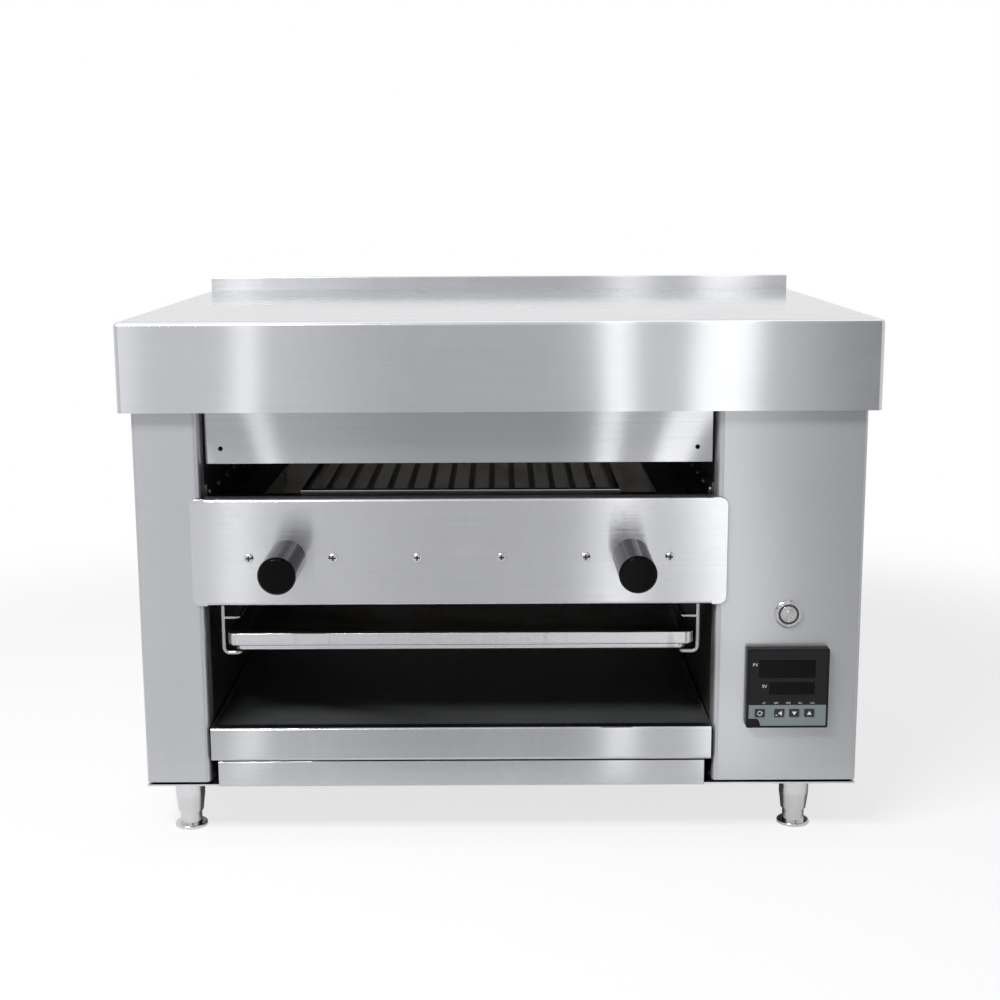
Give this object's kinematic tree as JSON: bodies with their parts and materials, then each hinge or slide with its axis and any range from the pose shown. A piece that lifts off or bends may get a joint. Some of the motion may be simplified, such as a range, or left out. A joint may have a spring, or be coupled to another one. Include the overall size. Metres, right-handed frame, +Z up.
{
  "type": "salamander grill",
  "caption": "Countertop stainless salamander grill with a pull-out grate carriage behind a handled shield panel, hanging tray, drip tray, push button and temperature controller.",
  "frame": {"origin": "on the counter under the middle of the whole outline, handles included", "axes": "+X to the user's right, -Y towards the user, +Z up"},
  "size_m": [0.65, 0.5414, 0.4785],
  "materials": {
    "brushed_stainless": "brushed along the sheet",
    "chamber_steel": "heat-darkened",
    "drip_steel": "satin, darkened floor",
    "tray_steel": "satin",
    "carriage_steel": "satin",
    "wire_steel": "drawn wire, bright",
    "screw_steel": "bright",
    "polished_steel": "polished",
    "button_metal": "spun",
    "button_lens": "clear over dark",
    "handle_black": "gloss",
    "controller_black": "fine matt",
    "controller_face": "satin",
    "controller_band": "satin",
    "display_dark": "gloss",
    "key_black": "satin",
    "rod_sheath": "oxidised",
    "ceramic_white": "unglazed",
    "insulation": "matt fibre board",
    "gear_plastic": "moulded",
    "gland_black": "moulded"
  },
  "bodies": {
    "cabinet": {"top_hood": "brushed_stainless", "left_casing": "brushed_stainless", "right_casing": "brushed_stainless", "rear_panel": "brushed_stainless", "base_pan": "brushed_stainless", "front_rail": "brushed_stainless", "front_valance": "brushed_stainless", "left_liner": "chamber_steel", "right_liner": "chamber_steel", "rear_liner": "chamber_steel", "floor_shelf": "chamber_steel", "reflector_plate": "chamber_steel", "guide_rails": "chamber_steel", "rear_screws": "screw_steel", "guide_screws": "screw_steel", "button_nut": "screw_steel", "foot_sleeves": "polished_steel", "button_body": "button_metal", "button_ring": "button_lens", "controller_case": "controller_black", "controller_clamps": "controller_black", "controller_face": "controller_face", "controller_key_band": "controller_band", "display_windows": "display_dark", "heating_rods": "rod_sheath", "temperature_probe": "rod_sheath", "ceramic_bushes": "ceramic_white", "insulation_board": "insulation", "contactor": "gear_plastic", "terminal_block": "gear_plastic", "cable_gland": "gland_black"},
    "carriage": {"shield_panel": "brushed_stainless", "shield_screws": "screw_steel", "handle_left": "handle_black", "handle_right": "handle_black", "handle_bolts": "screw_steel", "carriage_front_bar": "carriage_steel", "carriage_arm_left": "carriage_steel", "carriage_arm_right": "carriage_steel", "carriage_cross_bars": "carriage_steel", "grill_grate": "wire_steel", "roller_pins": "carriage_steel", "tray_hanger_left": "wire_steel", "tray_hanger_right": "wire_steel"},
    "roller_left_front": {"roller_left_front": "carriage_steel"},
    "roller_left_rear": {"roller_left_rear": "carriage_steel"},
    "roller_right_front": {"roller_right_front": "carriage_steel"},
    "roller_right_rear": {"roller_right_rear": "carriage_steel"},
    "hanging_tray": {"hanging_tray": "tray_steel"},
    "drip_tray": {"drip_tray": "drip_steel"},
    "button_cap": {"button_cap": "button_metal"},
    "key_set": {"key_set": "key_black"},
    "key_shift": {"key_shift": "key_black"},
    "key_down": {"key_down": "key_black"},
    "key_up": {"key_up": "key_black"},
    "foot_front_left": {"foot_front_left": "polished_steel"},
    "foot_front_right": {"foot_front_right": "polished_steel"},
    "foot_rear_left": {"foot_rear_left": "polished_steel"},
    "foot_rear_right": {"foot_rear_right": "polished_steel"}
  },
  "joints": [
    {"name": "carriage_slide", "type": "slide", "parent": "cabinet", "child": "carriage", "axis": [0, -1, 0], "range_m": [0, 0.24]},
    {"name": "tray_slide", "type": "slide", "parent": "carriage", "child": "hanging_tray", "axis": [0, -1, 0], "range_m": [0, 0.25]},
    {"name": "drip_slide", "type": "slide", "parent": "cabinet", "child": "drip_tray", "axis": [0, -1, 0], "range_m": [0, 0.3]},
    {"name": "button_press", "type": "slide", "parent": "cabinet", "child": "button_cap", "axis": [0, 1, 0], "range_m": [0, 0.0025], "stiffness_N_per_m": 1200},
    {"name": "key_set_press", "type": "slide", "parent": "cabinet", "child": "key_set", "axis": [0, 1, 0], "range_m": [0, 0.0005], "stiffness_N_per_m": 3000},
    {"name": "key_shift_press", "type": "slide", "parent": "cabinet", "child": "key_shift", "axis": [0, 1, 0], "range_m": [0, 0.0005], "stiffness_N_per_m": 3000},
    {"name": "key_down_press", "type": "slide", "parent": "cabinet", "child": "key_down", "axis": [0, 1, 0], "range_m": [0, 0.0005], "stiffness_N_per_m": 3000},
    {"name": "key_up_press", "type": "slide", "parent": "cabinet", "child": "key_up", "axis": [0, 1, 0], "range_m": [0, 0.0005], "stiffness_N_per_m": 3000},
    {"name": "roller_left_front_spin", "type": "hinge", "parent": "carriage", "child": "roller_left_front", "pos_m": [-0.248, 0.07975, 0.29], "axis": [1, 0, 0], "range_deg": [0, 1380]},
    {"name": "roller_left_rear_spin", "type": "hinge", "parent": "carriage", "child": "roller_left_rear", "pos_m": [-0.248, 0.15975, 0.29], "axis": [1, 0, 0], "range_deg": [0, 1380]},
    {"name": "roller_right_front_spin", "type": "hinge", "parent": "carriage", "child": "roller_right_front", "pos_m": [0.177, 0.07975, 0.29], "axis": [1, 0, 0], "range_deg": [0, 1380]},
    {"name": "roller_right_rear_spin", "type": "hinge", "parent": "carriage", "child": "roller_right_rear", "pos_m": [0.177, 0.15975, 0.29], "axis": [1, 0, 0], "range_deg": [0, 1380]},
    {"name": "foot_front_left_rise", "type": "slide", "parent": "cabinet", "child": "foot_front_left", "axis": [0, 0, -1], "range_m": [0, 0.012]},
    {"name": "foot_front_right_rise", "type": "slide", "parent": "cabinet", "child": "foot_front_right", "axis": [0, 0, -1], "range_m": [0, 0.012]},
    {"name": "foot_rear_left_rise", "type": "slide", "parent": "cabinet", "child": "foot_rear_left", "axis": [0, 0, -1], "range_m": [0, 0.012]},
    {"name": "foot_rear_right_rise", "type": "slide", "parent": "cabinet", "child": "foot_rear_right", "axis": [0, 0, -1], "range_m": [0, 0.012]}
  ],
  "couplings": [
    {"joint": "roller_left_front_spin", "follows": "carriage_slide", "rad_per_m": 100},
    {"joint": "roller_left_rear_spin", "follows": "carriage_slide", "rad_per_m": 100},
    {"joint": "roller_right_front_spin", "follows": "carriage_slide", "rad_per_m": 100},
    {"joint": "roller_right_rear_spin", "follows": "carriage_slide", "rad_per_m": 100}
  ]
}
